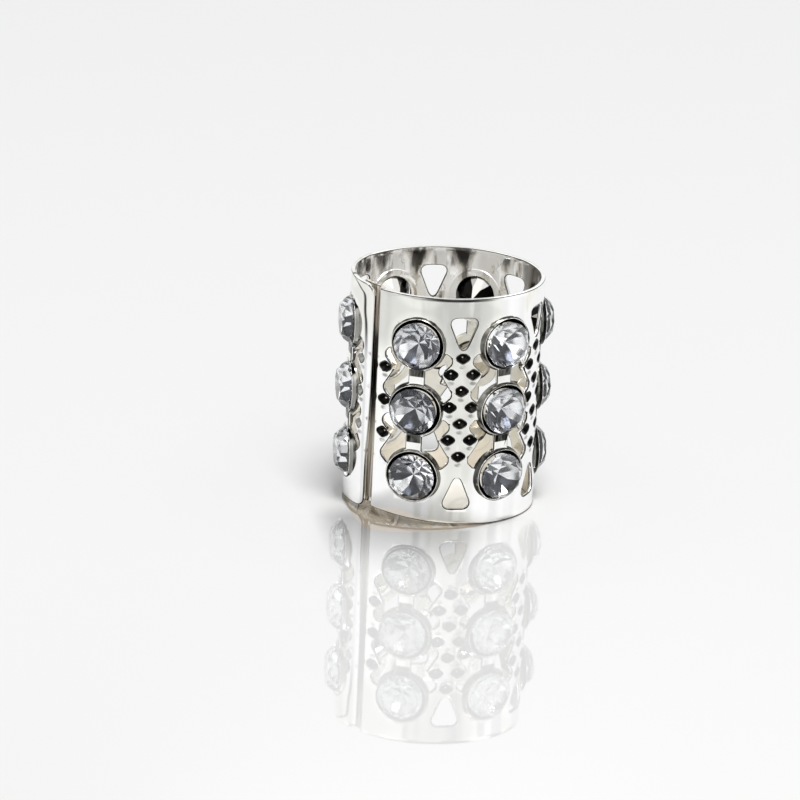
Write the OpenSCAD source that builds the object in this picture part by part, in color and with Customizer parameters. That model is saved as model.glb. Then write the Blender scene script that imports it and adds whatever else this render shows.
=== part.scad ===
// Dreadlock ring: a pierced strip of sheet metal, rolled into an oval tube whose left end
// laps over its right end, with six columns of three crystals set in raised seats.
// The tube stands on its bottom rim, and hair passes through it from rim to rim.
// Places on the sheet are given as (s, z): s runs along the strip, from the middle of the
// front towards the right, and z is the height above the bottom rim.

/* [Sheet] */
// Outside width of the tube, left to right
tube_w = 12; // [11.8:0.1:13]
// Outside depth of the tube, front to back
tube_d = 9.8; // [9.6:0.1:10.4]
// Height of the tube, which is the width of the strip
tube_h = 15; // [14.9:0.1:16.5]
// Thickness of the sheet metal
sheet = 0.25; // [0.2:0.01:0.3]
// Radius of the two side bends of the oval
side_r = 4.2; // [4:0.05:4.4]

/* [Lap seam] */
// Distance of the flap's free edge from the middle of the seam, to its left
flap_edge_offset = 0.14; // [0.05:0.01:0.2]
// Distance of the joggle's crease from the middle of the seam, to its right
crease_offset = 0.33; // [0.31:0.01:0.35]
// Width of the joggle's slope, which goes down from the crease
joggle_w = 0.3; // [0.2:0.01:0.3]
// Distance of the tucked end from the middle of the seam, under the flap
tuck_len = 1.6; // [1.2:0.05:1.6]
// Gap between the flap and the tucked end
lap_gap = 0.12; // [0.1:0.01:0.15]
// Radius of the flap's two corners
flap_corner_r = 0.8; // [0.3:0.1:0.9]

/* [Crystals] */
// Diameter of a crystal at its girdle
crystal_d = 3; // [2.8:0.05:3.1]
// Diameter of the table, across its corners
table_d = 1.56; // [1.2:0.02:1.8]
// Height of the crown, from girdle to table
crown_h = 0.62; // [0.4:0.02:0.8]
// Thickness of the girdle
girdle_h = 0.08; // [0.04:0.01:0.12]
// Depth of the pointed back, below the girdle
point_h = 1.25; // [1.15:0.05:1.3]
// Height of the girdle's lower edge above the sheet
girdle_lift = 0.1; // [0.08:0.01:0.2]

/* [Seats] */
// Radius of the seat's mouth
mouth_r = 1.6; // [1.58:0.01:1.62]
// Radius of the ledge's bore, which holds the crystal's back
ledge_r = 1.31; // [1.25:0.01:1.32]
// Radius of the raised ring at its top edge
ring_top_r = 1.68; // [1.66:0.01:1.72]
// Radius of the raised ring at its foot
ring_foot_r = 1.8; // [1.76:0.01:1.84]
// Height of the raised ring above the sheet
ring_h = 0.15; // [0.1:0.01:0.2]
// How far the seat stands out on the inside of the tube
inner_lip = 0.05; // [0.03:0.01:0.07]

/* [Pattern] */
// Place of the first column of crystals along the strip
first_column_s = -1.76; // [-1.9:0.01:-1.6]
// Extra length of strip between the columns on either side of the seam
seam_extra = 0.45; // [0.4:0.01:0.6]
// Height of the middle crystals
crystal_mid_z = 7.55; // [7.5:0.01:7.6]
// Distance between crystals in a column
crystal_pitch_z = 4.35; // [4.33:0.01:4.4]
// Height of the middle row of diamonds
diamond_mid_z = 7.9; // [7.85:0.01:7.9]
// Distance between rows of diamonds
diamond_pitch_z = 1.08; // [1.07:0.01:1.09]
// Distance of a paired diamond from the middle of its gap
diamond_offset = 0.7; // [0.67:0.01:0.7]
// Width of a diamond, before its corners are rounded
diamond_w = 0.92; // [0.8:0.01:0.93]
// Height of a diamond, before its corners are rounded
diamond_h = 0.88; // [0.8:0.01:0.89]
// Distance of the upper teardrops' middle from the top rim
upper_teardrop_drop = 2.25; // [2:0.05:2.25]
// Height of the lower teardrops' middle above the bottom rim
lower_teardrop_z = 2.15; // [1.9:0.05:2.2]

/* [Hidden] */
COLUMNS = ["a", "b", "c", "d", "e", "f"];
ROWS = ["bottom", "middle", "top"];
function crystal_name(column, row) = str("crystal_", COLUMNS[column], "_", ROWS[row]);
$fn = 96;
degrees = 180 / PI;

// The oval: two wide arcs at the front and back, and two tighter ones at the sides
side_cx = tube_w / 2 - side_r;
front_r = (side_cx * side_cx + tube_d * tube_d / 4 - side_r * side_r) / (tube_d - 2 * side_r);
front_cy = front_r - tube_d / 2;
join_angle = atan2(side_cx, front_cy);
front_len = 2 * join_angle * front_r / degrees;
side_len = (180 - 2 * join_angle) * side_r / degrees;
half_girth = front_len + side_len;
girth = 2 * half_girth;
column_pitch = (girth - seam_extra) / len(COLUMNS);

// Corners of the piercings, each as [x, y, radius of the rounding]
DIAMOND = [
    [diamond_w / 2, 0, 0.1],
    [0, diamond_h / 2, 0.12],
    [-diamond_w / 2, 0, 0.1],
    [0, -diamond_h / 2, 0.12]
];
TEARDROP = [[1.02, 1, 0.42], [-1.02, 1, 0.42], [0, -1.5, 0.33]];
CHEVRON = [
    [1.46, 0.3, 0.12],
    [2.28, 1.15, 0.38],
    [1.73, 1.83, 0.35],
    [0.52, 0.5, 0.15],
    [0.52, -0.5, 0.15],
    [1.64, -1.7, 0.33],
    [2.3, -1.06, 0.38]
];
SINGLE_DIAMOND_ROWS = [-3, -1, 1, 3];
PAIRED_DIAMOND_ROWS = [-2, 0, 2];

// Places along the strip of the seam's middle, the flap's edge, the joggle and the tucked end
seam_s = first_column_s - (column_pitch + seam_extra) / 2;
flap_edge_s = seam_s - flap_edge_offset;
crease_s = seam_s + crease_offset;
joggle_foot_s = crease_s - joggle_w;
tuck_s = seam_s - tuck_len;
// Depth of the tucked end below the sheet's outer face
tuck_depth = sheet + lap_gap;

cutter_above = 1;
cutter_below = 1.2;
// Depth that goes through the flap and stops short of the tucked end
flap_cutter_below = sheet + 0.6 * lap_gap;
overrun = 0.5;
flap_edge_overrun = 0.05;
corner_steps = 4;
// Longest flat of the rolled wall
facet_len = 0.36;

function column_s(column) = first_column_s + column * column_pitch;
function row_z(row) = crystal_mid_z + (row - 1) * crystal_pitch_z;

// Which half turn of the oval s is on, how far along that half turn, and whether on a wide arc
function half_turns(s) = floor((s + front_len / 2) / half_girth);
function along(s) = s + front_len / 2 - half_girth * half_turns(s);
function on_wide_arc(s) = along(s) < front_len;
function side_sign(s) = half_turns(s) % 2 == 0 ? 1 : -1;
function arc_r(s) = on_wide_arc(s) ? front_r : side_r;
function arc_centre(s) = side_sign(s) * (on_wide_arc(s) ? [0, front_cy] : [side_cx, 0]);

// Direction that the outer face looks in at s, turned from the front towards the right
function face_angle(s) =
    180 * half_turns(s)
    + (on_wide_arc(s)
        ? along(s) / front_r * degrees - join_angle
        : join_angle + (along(s) - front_len) / side_r * degrees);
function on_sheet(s, depth = 0) =
    arc_centre(s) + (arc_r(s) - depth) * [sin(face_angle(s)), -cos(face_angle(s))];

// Even steps along a stretch of the strip, each as [s, depth below the outer face]
function stations(s_from, s_to, depth) =
    let (steps = ceil((s_to - s_from) / facet_len))
    [for (i = [0:steps]) [s_from + (s_to - s_from) * i / steps, depth]];

// Points along the rounding of one corner of an outline
function rounding(before, corner, after, radius) =
    let (
        a = (before - corner) / norm(before - corner),
        b = (after - corner) / norm(after - corner),
        half_corner = acos(a * b) / 2,
        centre = corner + (a + b) / norm(a + b) * radius / sin(half_corner),
        start = corner + a * radius / tan(half_corner) - centre,
        end = corner + b * radius / tan(half_corner) - centre,
        turn = 180 - 2 * half_corner
    )
    [
        for (step = [0:corner_steps])
            let (angle = turn * step / corner_steps)
                centre + (sin(turn - angle) * start + sin(angle) * end) / sin(turn)
    ];

function rounded(corners) =
    let (count = len(corners), at = [for (corner = corners) [corner.x, corner.y]])
    [
        for (i = [0:count - 1])
            each rounding(at[(i + count - 1) % count], at[i], at[(i + 1) % count], corners[i][2])
    ];

// Puts its children on the outer face at (s, z), with x along the strip, y up and z outwards
module on_face(s, z) {
    place = on_sheet(s);
    translate([place.x, place.y, z]) rotate([90, 0, face_angle(s)]) children();
}

// The strip, rolled: the end under the flap, the slope of the joggle, and the long outer run
module rolled_strip() {
    run = concat(
        stations(tuck_s, joggle_foot_s, tuck_depth),
        stations(crease_s, girth + flap_edge_s, 0)
    );
    last = len(run) - 1;
    linear_extrude(tube_h)
        polygon(concat(
            [for (i = [0:last]) on_sheet(run[i][0], run[i][1])],
            [for (i = [last:-1:0]) on_sheet(run[i][0], run[i][1] + sheet)]
        ));
}

module cutter(outline, below = cutter_below) {
    translate([0, 0, -below])
        linear_extrude(cutter_above + below) polygon(rounded(outline));
}

// An outline on the curved sheet as its straight cutter sees it, at half the sheet's depth
function seen_straight(outline, radius) = [
    for (corner = outline)
        [(radius - sheet / 2) * sin(corner.x / radius * degrees), corner.y, corner[2]]
];

// Two chevrons, one each side of the neck between two crystals of a column
module chevrons(radius) {
    outline = seen_straight(CHEVRON, radius);
    cutter(outline);
    mirror([1, 0, 0]) cutter(outline);
}

module column_piercings(column) {
    s = column_s(column);
    for (neck = [-0.5, 0.5])
        on_face(s, crystal_mid_z + neck * crystal_pitch_z) chevrons(arc_r(s));
}

module diamond(s, row, below = cutter_below) {
    on_face(s, diamond_mid_z + row * diamond_pitch_z) cutter(DIAMOND, below);
}

// The lattice between two columns: diamonds by one and two, and a teardrop near each rim
module gap_piercings(middle_s) {
    for (row = SINGLE_DIAMOND_ROWS) diamond(middle_s, row);
    for (row = PAIRED_DIAMOND_ROWS, side = [-1, 1]) diamond(middle_s + side * diamond_offset, row);
    on_face(middle_s, tube_h - upper_teardrop_drop) cutter(TEARDROP);
    on_face(middle_s, lower_teardrop_z) mirror([0, 1, 0]) cutter(TEARDROP);
}

module piercings() {
    last = len(COLUMNS) - 1;
    beside_seam = column_pitch / 2 - diamond_offset;
    for (column = [0:last]) column_piercings(column);
    for (column = [0:last - 1]) gap_piercings(column_s(column) + column_pitch / 2);
    for (row = PAIRED_DIAMOND_ROWS) {
        diamond(column_s(0) - beside_seam, row);
        diamond(column_s(last) + beside_seam, row, flap_cutter_below);
    }
}

// What is taken off a square corner of the flap to round it, for the corner at the origin
module corner_waste() {
    r = flap_corner_r;
    translate([0, 0, -flap_cutter_below])
        linear_extrude(flap_cutter_below + overrun)
            difference() {
                translate([-r, -r]) square([r + flap_edge_overrun, r + overrun]);
                translate([-r, -r]) circle(r);
            }
}

module flap_corner_cuts() {
    on_face(flap_edge_s, tube_h) corner_waste();
    on_face(flap_edge_s, 0) mirror([0, 1, 0]) corner_waste();
}

// The raised ring round one crystal, before its seat is bored
module seat_ring() {
    below = sheet + inner_lip + overrun;
    rotate_extrude()
        polygon([
            [0, -below],
            [ring_foot_r, -below],
            [ring_foot_r, ring_h - sheet],
            [ring_top_r, ring_h],
            [0, ring_h]
        ]);
}

// The three rings of a column, trimmed to stand out evenly inside the tube
module seat_rings(column) {
    s = column_s(column);
    centre = arc_centre(s);
    difference() {
        for (row = [0:len(ROWS) - 1]) on_face(s, row_z(row)) seat_ring();
        translate([centre.x, centre.y, -overrun])
            cylinder(r = arc_r(s) - sheet - inner_lip, h = tube_h + 2 * overrun);
    }
}

// The hollow of a seat: a mouth that narrows to the ledge, and the ledge's bore
module seat_hollow() {
    ledge_z = ring_h - sheet;
    rotate_extrude()
        polygon([
            [0, -cutter_below],
            [ledge_r, -cutter_below],
            [ledge_r, ledge_z],
            [mouth_r, ring_h],
            [mouth_r, ring_h + overrun],
            [0, ring_h + overrun]
        ]);
}

module band() {
    color([0.86, 0.86, 0.84])
        difference() {
            union() {
                difference() {
                    rolled_strip();
                    piercings();
                    flap_corner_cuts();
                }
                for (column = [0:len(COLUMNS) - 1]) seat_rings(column);
            }
            for (column = [0:len(COLUMNS) - 1], row = [0:len(ROWS) - 1])
                on_face(column_s(column), row_z(row)) seat_hollow();
        }
}

// A ring of points at one height, half a step round where offset is 0.5
function point_ring(count, radius, height, offset = 0) = [
    for (i = [0:count - 1])
        let (angle = 360 * (i + offset) / count) [radius * cos(angle), radius * sin(angle), height]
];

// A cut crystal on its axis: an eight-sided table, a sixteen-sided girdle and a pointed back
module cut_crystal() {
    sides = 8;
    girdle = 2 * sides;
    // Where the points of the table, of the girdle's top and bottom, and of the back start
    upper = sides;
    lower = upper + girdle;
    tip = lower + girdle;
    points = concat(
        point_ring(sides, table_d / 2, girdle_lift + girdle_h + crown_h, 0.5),
        point_ring(girdle, crystal_d / 2, girdle_lift + girdle_h),
        point_ring(girdle, crystal_d / 2, girdle_lift),
        [[0, 0, girdle_lift - point_h]]
    );
    table_face = [[for (i = [sides - 1:-1:0]) i]];
    main_faces = [
        for (i = [0:sides - 1]) [i, upper + 2 * i + 1, upper + 2 * i]
    ];
    star_faces = [
        for (i = [0:sides - 1]) [i, upper + (2 * i + 2) % girdle, upper + 2 * i + 1]
    ];
    bezel_faces = [
        for (i = [0:sides - 1]) [i, (i + 1) % sides, upper + (2 * i + 2) % girdle]
    ];
    girdle_faces = [
        for (i = [0:girdle - 1])
            let (next = (i + 1) % girdle) [upper + i, upper + next, lower + next, lower + i]
    ];
    back_faces = [
        for (i = [0:girdle - 1]) [lower + i, lower + (i + 1) % girdle, tip]
    ];
    polyhedron(
        points,
        concat(table_face, main_faces, star_faces, bezel_faces, girdle_faces, back_faces)
    );
}

module crystal(column, row) {
    color([0.8, 0.84, 0.9]) on_face(column_s(column), row_z(row)) cut_crystal();
}

band();
for (column = [0:len(COLUMNS) - 1], row = [0:len(ROWS) - 1])
    crystal(column, row);
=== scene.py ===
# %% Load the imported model
import math

import bmesh
import bpy
from mathutils import Matrix, Vector, noise
from mathutils.kdtree import KDTree


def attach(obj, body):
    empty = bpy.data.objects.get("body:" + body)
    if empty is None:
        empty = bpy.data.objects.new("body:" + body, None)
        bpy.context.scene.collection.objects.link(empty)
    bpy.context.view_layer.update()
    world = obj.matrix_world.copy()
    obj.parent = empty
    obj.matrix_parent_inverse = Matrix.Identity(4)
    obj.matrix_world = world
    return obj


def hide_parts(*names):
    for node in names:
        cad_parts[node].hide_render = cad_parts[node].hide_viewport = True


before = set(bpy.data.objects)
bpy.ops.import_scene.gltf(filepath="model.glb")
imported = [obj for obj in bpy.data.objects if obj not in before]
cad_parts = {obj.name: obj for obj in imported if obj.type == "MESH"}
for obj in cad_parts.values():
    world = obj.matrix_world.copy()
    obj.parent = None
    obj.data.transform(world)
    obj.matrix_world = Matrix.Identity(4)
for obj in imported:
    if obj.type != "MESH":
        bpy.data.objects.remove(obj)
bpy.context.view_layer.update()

# %% [markdown]
# # A dreadlock ring
# The real object is a cuff for one dreadlock: a thin strip of sheet metal, pierced with a
# lattice, stamped with seats for eighteen crystals and rolled into an oval tube whose ends
# overlap. It is built here in its maker's order: pierce a flat strip, roll it, give it its
# thickness, and add the seats and stones. One unit stands for a millimetre, because round
# numbers are easier to read, and each finished piece is scaled down to metres.

# %% Sizes of the real object, in millimetres
TUBE_W = 12.0
TUBE_D = 9.8
TUBE_H = 15.0
SHEET = 0.25
SIDE_R = 4.2
CRYSTAL_MID_Z = 7.55
CRYSTAL_PITCH_Z = 4.35
DIAMOND_MID_Z = 7.9
DIAMOND_PITCH_Z = 1.08
DIAMOND_OFFSET = 0.7
FIRST_COLUMN_S = -1.76
COLUMNS = "abcdef"
ROWS = ("bottom", "middle", "top")
# The seam: its extra width, the air between its layers, how far the flap's edge and the crease
# are from it, and how long the joggle and the tucked end are
SEAM_EXTRA = 0.45
LAP_GAP = 0.12
SEAM_TO_FLAP = 0.14
SEAM_TO_CREASE = 0.33
JOGGLE_LEN = 0.3
TUCK_LEN = 1.6
# From the unit that everything is modelled in to Blender's own
TO_METRES = 0.001
print(f"tube {TUBE_W} by {TUBE_D} by {TUBE_H} mm, with {len(COLUMNS) * len(ROWS)} crystals")

# %% [markdown]
# ## The oval
# Seen from above, the tube is an oval of four arcs, wide at the front and back and tight at
# the sides. A place on the sheet is s, the distance along the oval from the middle of the
# front, and z, the height. These functions turn s into a point and a direction, for the
# sheet, the seats and the stones alike.

# %% The oval, as functions of the distance along it
side_cx = TUBE_W / 2 - SIDE_R
front_r = (side_cx**2 + TUBE_D**2 / 4 - SIDE_R**2) / (TUBE_D - 2 * SIDE_R)
front_cy = front_r - TUBE_D / 2
join_angle = math.atan2(side_cx, front_cy)
front_len = 2 * join_angle * front_r
half_girth = front_len + (math.pi - 2 * join_angle) * SIDE_R
girth = 2 * half_girth
column_pitch = (girth - SEAM_EXTRA) / len(COLUMNS)


def oval(s):
    """The arc's centre and radius at s, and the angle that the sheet faces, from the front."""
    turn = math.floor((s + front_len / 2) / half_girth)
    along = s + front_len / 2 - half_girth * turn
    sign = 1 if turn % 2 == 0 else -1
    if along < front_len:
        return Vector((0, sign * front_cy)), front_r, math.pi * turn + along / front_r - join_angle
    angle = math.pi * turn + join_angle + (along - front_len) / SIDE_R
    return Vector((sign * side_cx, 0)), SIDE_R, angle


def on_sheet(s, depth=0.0):
    centre, radius, angle = oval(s)
    return centre + (radius - depth) * Vector((math.sin(angle), -math.cos(angle)))


def seat_place(s, z):
    """A matrix that puts a flat piece on the sheet: x along it, y up and z outwards."""
    angle = oval(s)[2]
    point = on_sheet(s)
    turn = Matrix.Rotation(angle, 4, "Z") @ Matrix.Rotation(math.pi / 2, 4, "X")
    return Matrix.Translation((point.x, point.y, z)) @ turn


column_s = [FIRST_COLUMN_S + i * column_pitch for i in range(len(COLUMNS))]
row_z = [CRYSTAL_MID_Z + (i - 1) * CRYSTAL_PITCH_Z for i in range(len(ROWS))]
seam_s = FIRST_COLUMN_S - (column_pitch + SEAM_EXTRA) / 2
flap_edge_s = seam_s - SEAM_TO_FLAP
crease_s = seam_s + SEAM_TO_CREASE
joggle_foot_s = crease_s - JOGGLE_LEN
tuck_s = seam_s - TUCK_LEN
print(f"girth {girth:.2f} mm, columns {column_pitch:.2f} mm apart, seam at {seam_s:.2f} mm")

# %% [markdown]
# ## Working by hand, in code
# An operator acts on whatever is selected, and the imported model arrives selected. These small
# helpers start each step from a clean slate: nothing selected, one object active.

# %% Helpers for selecting, applying and copying


def start_clean():
    bpy.ops.object.select_all(action="DESELECT")


def take(piece):
    start_clean()
    piece.select_set(True)
    bpy.context.view_layer.objects.active = piece
    return piece


def edit_all():
    bpy.ops.object.mode_set(mode="EDIT")
    bpy.ops.mesh.select_all(action="SELECT")


def name_new(name):
    piece = bpy.context.object
    piece.name = name
    piece.data.name = name
    return piece


def in_scene(name, data):
    piece = bpy.data.objects.new(name, data)
    bpy.context.scene.collection.objects.link(piece)
    return piece


def copy_of(piece, name, place):
    twin = in_scene(name, piece.data.copy())
    twin.data.name = name
    twin.data.transform(place)
    return twin


def joined(pieces, name):
    take(pieces[0])
    for piece in pieces[1:]:
        piece.select_set(True)
    bpy.ops.object.join()
    return name_new(name)


def finish_modifier(piece, modifier):
    take(piece)
    bpy.ops.object.modifier_apply(modifier=modifier.name)


def boolean(piece, tool, operation, solver="EXACT"):
    cut = piece.modifiers.new("cut", "BOOLEAN")
    cut.operation = operation
    cut.solver = solver
    cut.object = tool
    finish_modifier(piece, cut)
    bpy.data.objects.remove(tool)


def cylinder(name, sides, radius, depth, place):
    start_clean()
    bpy.ops.mesh.primitive_cylinder_add(vertices=sides, radius=radius, depth=depth, location=place)
    bpy.ops.object.transform_apply(location=True, rotation=True, scale=True)
    return name_new(name)


def close_up(threshold):
    """Weld points that are closer than the threshold, turn all faces outwards, leave edit mode."""
    bpy.ops.mesh.select_all(action="SELECT")
    bpy.ops.mesh.remove_doubles(threshold=threshold)
    bpy.ops.mesh.normals_make_consistent(inside=False)
    bpy.ops.object.mode_set(mode="OBJECT")


def triangles(piece):
    piece.data.calc_loop_triangles()
    return len(piece.data.loop_triangles)


def point_tree(piece):
    """The points of a piece, sorted so that the nearest ones are found quickly."""
    points = KDTree(len(piece.data.vertices))
    for vertex in piece.data.vertices:
        points.insert(vertex.co, vertex.index)
    points.balance()
    return points


def soft_step(t):
    """0 up to t = 0, 1 from t = 1, and a soft rise between them."""
    t = min(max(t, 0), 1)
    return t * t * (3 - 2 * t)


# %% [markdown]
# ## The punches
# On the real strip each gap is punched out, with round corners where the punch is worn. A
# punch here is a circle primitive with one point for each corner. The points are moved to
# their places, each corner is rounded with a vertex bevel, and the outline is extruded.

# %% One punch for each shape of gap
CORNER_STEPS = 5


def punch(name, corners):
    """A block from its corners: x, y and radius of each."""
    start_clean()
    bpy.ops.mesh.primitive_circle_add(vertices=len(corners), radius=1, fill_type="NGON")
    block = name_new(name)
    places = [Vector((x, y, 0)) for x, y, radius in corners]
    for vertex, place in zip(block.data.vertices, places):
        vertex.co = place
    edit_all()
    for i, (place, corner) in enumerate(zip(places, corners)):
        before = (places[i - 1] - place).normalized()
        after = (places[(i + 1) % len(places)] - place).normalized()
        slide = corner[2] / math.tan(before.angle(after) / 2)
        mesh = bmesh.from_edit_mesh(block.data)
        for vertex in mesh.verts:
            vertex.select_set((vertex.co - place).length < 1e-5)
        bmesh.update_edit_mesh(block.data)
        bpy.ops.mesh.bevel(offset=slide, segments=CORNER_STEPS, profile=0.5, affect="VERTICES")
    bpy.ops.mesh.select_all(action="SELECT")
    bpy.ops.transform.translate(value=(0, 0, -1))
    bpy.ops.mesh.extrude_region_move(TRANSFORM_OT_translate={"value": (0, 0, 2)})
    bpy.ops.mesh.select_all(action="SELECT")
    bpy.ops.mesh.normals_make_consistent(inside=False)
    bpy.ops.object.mode_set(mode="OBJECT")
    return block


DIAMOND_W = 0.6
DIAMOND_H = 0.37
DIAMOND = ((DIAMOND_W, 0, 0.2), (0, DIAMOND_H, 0.22), (-DIAMOND_W, 0, 0.2), (0, -DIAMOND_H, 0.22))
TEARDROP = ((1.02, 1, 0.42), (-1.02, 1, 0.42), (0, -1.5, 0.33))
CHEVRON = (
    (1.46, 0.3, 0.12),
    (2.28, 1.15, 0.38),
    (1.73, 1.83, 0.35),
    (0.52, 0.5, 0.15),
    (0.52, -0.5, 0.15),
    (1.64, -1.7, 0.33),
    (2.3, -1.06, 0.38),
)
diamond = punch("punch_diamond", DIAMOND)
teardrop = punch("punch_teardrop", TEARDROP)
chevron = punch("punch_chevron", CHEVRON)
print("punches:", [len(block.data.polygons) for block in (diamond, teardrop, chevron)], "faces")

# %% [markdown]
# ## Laying out the pattern
# Between each two crystals of a column stands a pair of chevrons, mirrored about the neck that
# joins the seats. Between the columns the diamonds go by one and two, with a teardrop near each
# rim. Beside the seam there is room only for the nearest diamonds.

# %% Copies of the punches, all over the strip
MIRROR_X = Matrix.Scale(-1, 4, (1, 0, 0))
MIRROR_Y = Matrix.Scale(-1, 4, (0, 1, 0))
SLIM = Matrix.Scale(0.65, 4, (1, 0, 0))
TEARDROP_TOP_Z = TUBE_H - 2.25
TEARDROP_LOW_Z = 2.15
punches = []
diamond_places = []


def place_punch(block, s, z, turn=Matrix.Identity(4)):
    copy = copy_of(block, "punch", Matrix.Translation((s, z, 0)) @ turn)
    if turn.determinant() < 0:
        copy.data.flip_normals()
    punches.append(copy)


def place_diamond(s, row, turn=Matrix.Identity(4)):
    z = DIAMOND_MID_Z + row * DIAMOND_PITCH_Z
    place_punch(diamond, s, z, turn)
    diamond_places.append((s, z))


for s in column_s:
    for neck in (-0.5, 0.5):
        neck_z = CRYSTAL_MID_Z + neck * CRYSTAL_PITCH_Z
        place_punch(chevron, s, neck_z)
        place_punch(chevron, s, neck_z, MIRROR_X)
for s in column_s[:-1]:
    gap_s = s + column_pitch / 2
    for row in (-3, -1, 1, 3):
        place_diamond(gap_s, row)
    for row in (-2, 0, 2):
        for side in (-1, 1):
            place_diamond(gap_s + side * DIAMOND_OFFSET, row)
    place_punch(teardrop, gap_s, TEARDROP_TOP_Z)
    place_punch(teardrop, gap_s, TEARDROP_LOW_Z, MIRROR_Y)
for row in (-2, 0, 2):
    beside = column_pitch / 2 - DIAMOND_OFFSET
    place_diamond(column_s[0] - beside, row)
    place_diamond(column_s[-1] + beside - 0.15, row, SLIM)
print(len(punches), "gaps")

# %% [markdown]
# ## The strip
# A path runs round the oval and steps in at the seam. Once the strip is pierced, the Curve
# modifier will bend it along this path, which is how a real strip follows its rollers.

# %% The path of the outer face, with the joggle that takes the right end under the flap
STEP = 0.05


def path_depth(s):
    """How far the path runs inside the oval at s."""
    return (SHEET + LAP_GAP) * (1 - soft_step((s - joggle_foot_s) / (crease_s - joggle_foot_s)))


path_end_s = girth + flap_edge_s + 1
path_s = [tuck_s + i * STEP for i in range(math.ceil((path_end_s - tuck_s) / STEP) + 1)]
path_points = [on_sheet(s, path_depth(s)) for s in path_s]
path_len = [0.0]
for a, b in zip(path_points, path_points[1:]):
    path_len.append(path_len[-1] + (b - a).length)


def along_path(s):
    """How far along the path the place s is."""
    i = min(max(int((s - tuck_s) / STEP), 0), len(path_s) - 2)
    return path_len[i] + (s - path_s[i]) / STEP * (path_len[i + 1] - path_len[i])


strip_len = along_path(girth + flap_edge_s)
path_data = bpy.data.curves.new("roller_path", "CURVE")
path_data.dimensions = "2D"
spline = path_data.splines.new("POLY")
spline.points.add(len(path_points) - 1)
for point, place in zip(spline.points, path_points):
    point.co = (place.x, place.y, 0, 1)
path = in_scene("roller_path", path_data)
print(f"strip {strip_len:.2f} mm long")

# %% [markdown]
# The strip is a grid, fine enough to bend smoothly. Extra edges are sliced in where it will
# step in at the seam, because a mesh can only bend at its edges. Then all the punches fall at
# once, as one joined tool, which is quicker and safer than a Boolean for each gap.

# %% The flat strip, pierced
GRID = (122, 51)
CREASE_CUTS = 7
FINISHES = ("bright_plate", "inner_plate", "seat_shadow", "punched_edge", "seat_wall")
BRIGHT, INNER, SHADOW, EDGE, WALL = range(len(FINISHES))
start_clean()
bpy.ops.mesh.primitive_grid_add(x_subdivisions=GRID[0], y_subdivisions=GRID[1], size=1)
strip = name_new("pierced_band")
for finish in FINISHES:
    strip.data.materials.append(bpy.data.materials.new(finish))
edit_all()
bpy.ops.transform.resize(value=(strip_len, TUBE_H, 1))
bpy.ops.transform.translate(value=(strip_len / 2, TUBE_H / 2, 0))
for i in range(CREASE_CUTS):
    crease_x = along_path(joggle_foot_s + i / (CREASE_CUTS - 1) * (crease_s - joggle_foot_s))
    bpy.ops.mesh.select_all(action="SELECT")
    bpy.ops.mesh.bisect(plane_co=(crease_x, 0, 0), plane_no=(1, 0, 0), threshold=0.001)
bpy.ops.object.mode_set(mode="OBJECT")

lattice = joined(punches, "lattice")
lattice.data.transform(Matrix.Translation((along_path(0), 0, 0)))
boolean(strip, lattice, "DIFFERENCE")
print("strip after the lattice:", len(strip.data.polygons), "faces")

ROUND_SIDES = 72
SEAT_HOLE_R = 1.68
hole_places = [(along_path(s), z, 0) for s in column_s for z in row_z]
holes = [cylinder("seat_hole", ROUND_SIDES, SEAT_HOLE_R, 2, place) for place in hole_places]
boolean(strip, joined(holes, "seat_holes"), "DIFFERENCE")
print("strip after the seats:", len(strip.data.polygons), "faces")

# %% [markdown]
# The flap lies on top of the other end and catches hair if its corners are sharp, so its maker
# snips them round. The tool for that is a small block with a quarter of a disc taken out.

# %% The flap's rounded corners
CORNER_R = 0.8
SPARE = 0.1
corners = []
for end_z, up in ((TUBE_H, 1), (0, -1)):
    start_clean()
    bpy.ops.mesh.primitive_cube_add(size=1)
    bpy.ops.transform.resize(value=(CORNER_R + 2 * SPARE, CORNER_R + 2 * SPARE, 2))
    block_z = end_z - up * (CORNER_R / 2 - SPARE)
    bpy.ops.transform.translate(value=(strip_len - CORNER_R / 2 + SPARE, block_z, 0))
    bpy.ops.object.transform_apply(location=True, rotation=True, scale=True)
    corner = name_new("flap_corner")
    centre = (strip_len - CORNER_R, end_z - up * CORNER_R, 0)
    boolean(corner, cylinder("flap_round", 96, CORNER_R, 3, centre), "DIFFERENCE")
    corners.append(corner)
boolean(strip, joined(corners, "flap_corners"), "DIFFERENCE")
print("strip with round corners:", len(strip.data.polygons), "faces")

# %% [markdown]
# Cuts that end close together leave points a hair apart, which are welded into one. A Boolean
# may also leave a punch's own end behind, so whatever isn't in the strip's plane goes.

# %% Weld the strip and clear what the cuts left
take(strip)
edit_all()
bpy.ops.mesh.remove_doubles(threshold=0.02)
bpy.ops.mesh.delete_loose(use_verts=True, use_edges=True, use_faces=False)
mesh = bmesh.from_edit_mesh(strip.data)
for vertex in mesh.verts:
    vertex.select_set(abs(vertex.co.z) > 0.01)
print("points off the plane:", sum(vertex.select for vertex in mesh.verts))
bmesh.update_edit_mesh(strip.data)
bpy.ops.mesh.delete(type="VERT")
bpy.ops.object.mode_set(mode="OBJECT")
print("strip trimmed:", len(strip.data.polygons), "faces")

# %% [markdown]
# The real cuff was cut and closed by hand: its lower edge rises a little towards the seam, and
# the flap is a trace narrower low down. The points of the flat strip are nudged to follow
# that. Then the strip gets its own map, along it and up it, which the finishes follow.

# %% Hand-cut edges, and the strip's own map
LIFT_AT_TUCK = 0.6
LIFT_AT_FLAP = 0.3
FLAP_TAPER = 0.2


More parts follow.
